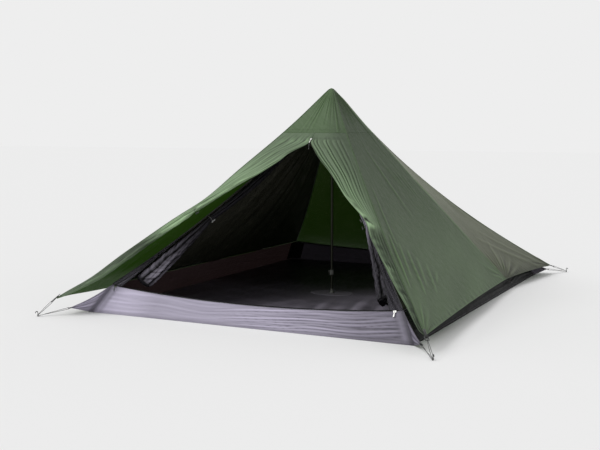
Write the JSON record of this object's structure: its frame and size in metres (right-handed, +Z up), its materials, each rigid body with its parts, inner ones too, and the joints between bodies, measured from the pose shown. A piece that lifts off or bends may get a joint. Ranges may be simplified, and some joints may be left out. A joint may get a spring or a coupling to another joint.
{
  "type": "pyramid tent",
  "caption": "Two-skin pyramid tent on one adjustable centre pole: fly with rolled-back front doors over a mesh inner tent with bathtub walls and a groundsheet",
  "frame": {"origin": "on the ground, at the centre of the footprint", "axes": "+Z up, -Y towards the door, +X to the right seen from the door"},
  "size_m": [2.7036, 3.5236, 1.4981],
  "materials": {
    "fly_cloth": "woven nylon with a fine grid, slight sheen",
    "tub_cloth": "coated woven polyester, light grey-violet",
    "mesh": "fine insect mesh, dark grey",
    "floor_cloth": "coated woven polyester, dark",
    "webbing": "woven webbing",
    "dark_cord": "braided cord",
    "grey_cord": "braided elastic cord",
    "dark_plastic": "moulded",
    "zip_metal": "die-cast",
    "pole_metal": "anodised tube",
    "peg_metal": "drawn wire"
  },
  "bodies": {
    "tent": {"door_zip_slider": "zip_metal", "fly_back_panel": "fly_cloth", "fly_buckle_back_left": "dark_plastic", "fly_buckle_back_right": "dark_plastic", "fly_buckle_front_left": "dark_plastic", "fly_buckle_front_right": "dark_plastic", "fly_cord_back_left": "dark_cord", "fly_cord_back_right": "dark_cord", "fly_cord_front_left": "dark_cord", "fly_cord_front_right": "dark_cord", "fly_door_left": "fly_cloth", "fly_door_right": "fly_cloth", "fly_left_panel": "fly_cloth", "fly_right_panel": "fly_cloth", "hem_tie_left": "dark_cord", "hem_tie_right": "dark_cord", "inner_buckle_back_left": "dark_plastic", "inner_buckle_back_right": "dark_plastic", "inner_buckle_front_left": "dark_plastic", "inner_buckle_front_right": "dark_plastic", "inner_cord_back_left": "grey_cord", "inner_cord_back_right": "grey_cord", "inner_cord_front_left": "grey_cord", "inner_cord_front_right": "grey_cord", "inner_floor": "floor_cloth", "mesh_roll_left": "mesh", "mesh_roll_right": "mesh", "mesh_slider_left": "zip_metal", "mesh_slider_right": "zip_metal", "mesh_strip_left": "mesh", "mesh_strip_right": "mesh", "mesh_wall_back": "mesh", "mesh_wall_left": "mesh", "mesh_wall_right": "mesh", "peak_cap": "fly_cloth", "peak_cup": "webbing", "peak_hanger": "webbing", "peg_back_left": "peg_metal", "peg_back_right": "peg_metal", "peg_front_left": "peg_metal", "peg_front_right": "peg_metal", "pole_collar": "dark_plastic", "pole_patch": "floor_cloth", "pole_tip": "dark_plastic", "pole_upper_tube": "pole_metal", "tub_wall_back": "tub_cloth", "tub_wall_front": "tub_cloth", "tub_wall_left": "tub_cloth", "tub_wall_right": "tub_cloth"},
    "pole_lower": {"pole_lower_tube": "pole_metal", "pole_foot": "dark_plastic"},
    "lever": {"pole_lever": "dark_plastic"},
    "door_pull": {"door_zip_pull": "zip_metal", "door_zip_cord": "grey_cord"},
    "inner_pull_left": {"mesh_pull_left": "zip_metal"},
    "inner_pull_right": {"mesh_pull_right": "zip_metal"},
    "fly_toggle_left": {"door_toggle_left": "dark_plastic"},
    "fly_toggle_right": {"door_toggle_right": "dark_plastic"},
    "roll_toggle_left": {"mesh_toggle_left": "dark_plastic"},
    "roll_toggle_right": {"mesh_toggle_right": "dark_plastic"}
  },
  "joints": [
    {"name": "pole_length", "type": "slide", "parent": "tent", "child": "pole_lower", "axis": [0, 0, 1], "range_m": [0, 0.1]},
    {"name": "lever_turn", "type": "hinge", "parent": "tent", "child": "lever", "pos_m": [-0.0197, -0.096, 0.168], "axis": [0, 1, 0], "range_deg": [0, 110]},
    {"name": "door_pull_turn", "type": "hinge", "parent": "tent", "child": "door_pull", "pos_m": [0, -0.45368, 1.14024], "axis": [-1, 0, 0], "range_deg": [0, 150]},
    {"name": "inner_pull_left_turn", "type": "hinge", "parent": "tent", "child": "inner_pull_left", "pos_m": [-0.99708, -1.38022, 0.16981], "axis": [-1, 0, 0], "range_deg": [0, 150]},
    {"name": "inner_pull_right_turn", "type": "hinge", "parent": "tent", "child": "inner_pull_right", "pos_m": [0.98326, -1.38091, 0.1686], "axis": [-1, 0, 0], "range_deg": [0, 150]},
    {"name": "fly_toggle_left_turn", "type": "hinge", "parent": "tent", "child": "fly_toggle_left", "pos_m": [-0.61063, -0.97706, 0.64893], "axis": [0.8356, -0.4188, -0.3555], "range_deg": [-90, 90]},
    {"name": "fly_toggle_right_turn", "type": "hinge", "parent": "tent", "child": "fly_toggle_right", "pos_m": [0.6166, -0.97963, 0.64675], "axis": [-0.7659, -0.4902, -0.4161], "range_deg": [-90, 90]},
    {"name": "roll_toggle_left_turn", "type": "hinge", "parent": "tent", "child": "roll_toggle_left", "pos_m": [-0.57044, -0.83956, 0.58333], "axis": [0.8697, -0.3505, -0.3477], "range_deg": [-90, 90]},
    {"name": "roll_toggle_right_turn", "type": "hinge", "parent": "tent", "child": "roll_toggle_right", "pos_m": [0.57046, -0.83955, 0.58334], "axis": [-0.8696, -0.3505, -0.3477], "range_deg": [-90, 90]}
  ]
}
